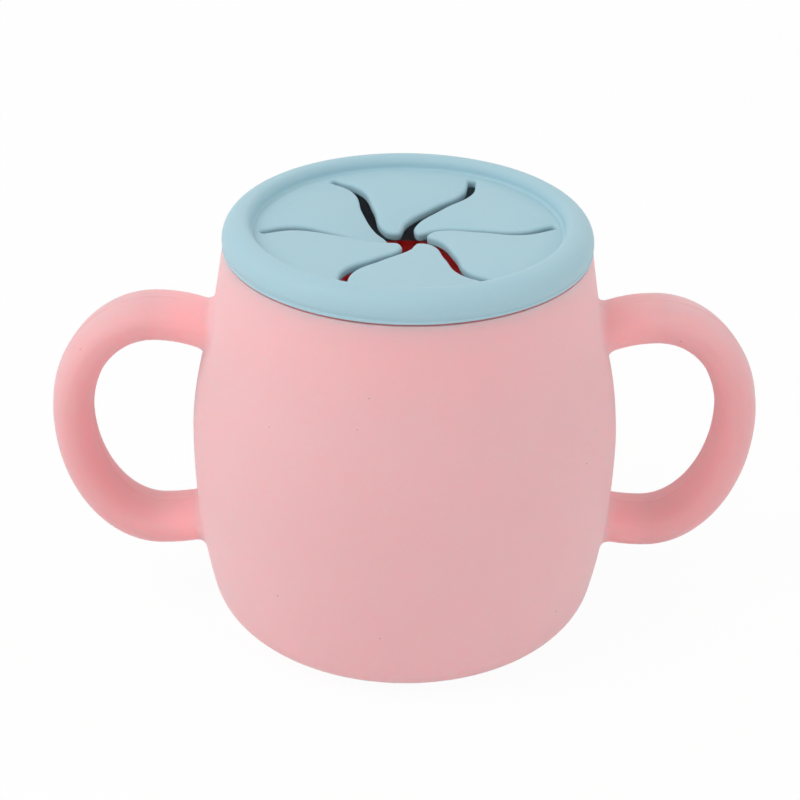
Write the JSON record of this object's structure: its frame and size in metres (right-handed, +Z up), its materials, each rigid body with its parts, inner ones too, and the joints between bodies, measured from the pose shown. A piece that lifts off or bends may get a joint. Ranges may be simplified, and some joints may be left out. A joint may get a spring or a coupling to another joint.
{
  "type": "toddler training cup",
  "caption": "Barrel-shaped toddler training cup with side loop handles and a press-on snack lid whose slit middle parts into springy flaps.",
  "frame": {"origin": "middle of the foot, on the surface that the cup stands on", "axes": "+Z up the cup's axis, +X along the line through the handles, -Y the side that the picture shows"},
  "size_m": [0.1454, 0.0878, 0.0885],
  "materials": {
    "cup_silicone": "soft matt moulded silicone, pale rose pink",
    "lid_silicone": "soft matt moulded silicone, pale grey blue"
  },
  "bodies": {
    "cup": {"cup_body": "cup_silicone", "handle_left": "cup_silicone", "handle_right": "cup_silicone"},
    "lid": {"lid_ring": "lid_silicone"},
    "flap_1": {"flap_1": "lid_silicone"},
    "flap_2": {"flap_2": "lid_silicone"},
    "flap_3": {"flap_3": "lid_silicone"},
    "flap_4": {"flap_4": "lid_silicone"},
    "flap_5": {"flap_5": "lid_silicone"},
    "flap_6": {"flap_6": "lid_silicone"}
  },
  "joints": [
    {"name": "lid_lift", "type": "slide", "parent": "cup", "child": "lid", "axis": [0, 0, 1], "range_m": [0, 0.04]},
    {"name": "flap_1_bend", "type": "hinge", "parent": "lid", "child": "flap_1", "pos_m": [0.02, 0.01349, 0.0849], "axis": [-0.5592, 0.829, 0], "range_deg": [-65, 55], "stiffness_Nm_per_rad": 0.01},
    {"name": "flap_2_bend", "type": "hinge", "parent": "lid", "child": "flap_2", "pos_m": [-0.00168, 0.02407, 0.0849], "axis": [-0.9976, -0.0698, 0], "range_deg": [-65, 55], "stiffness_Nm_per_rad": 0.01},
    {"name": "flap_3_bend", "type": "hinge", "parent": "lid", "child": "flap_3", "pos_m": [-0.02168, 0.01058, 0.0849], "axis": [-0.4384, -0.8988, 0], "range_deg": [-65, 55], "stiffness_Nm_per_rad": 0.01},
    {"name": "flap_4_bend", "type": "hinge", "parent": "lid", "child": "flap_4", "pos_m": [-0.02, -0.01349, 0.0849], "axis": [0.5592, -0.829, 0], "range_deg": [-65, 55], "stiffness_Nm_per_rad": 0.01},
    {"name": "flap_5_bend", "type": "hinge", "parent": "lid", "child": "flap_5", "pos_m": [0.00168, -0.02407, 0.0849], "axis": [0.9976, 0.0698, 0], "range_deg": [-65, 55], "stiffness_Nm_per_rad": 0.01},
    {"name": "flap_6_bend", "type": "hinge", "parent": "lid", "child": "flap_6", "pos_m": [0.02168, -0.01058, 0.0849], "axis": [0.4384, 0.8988, 0], "range_deg": [-65, 55], "stiffness_Nm_per_rad": 0.01}
  ]
}
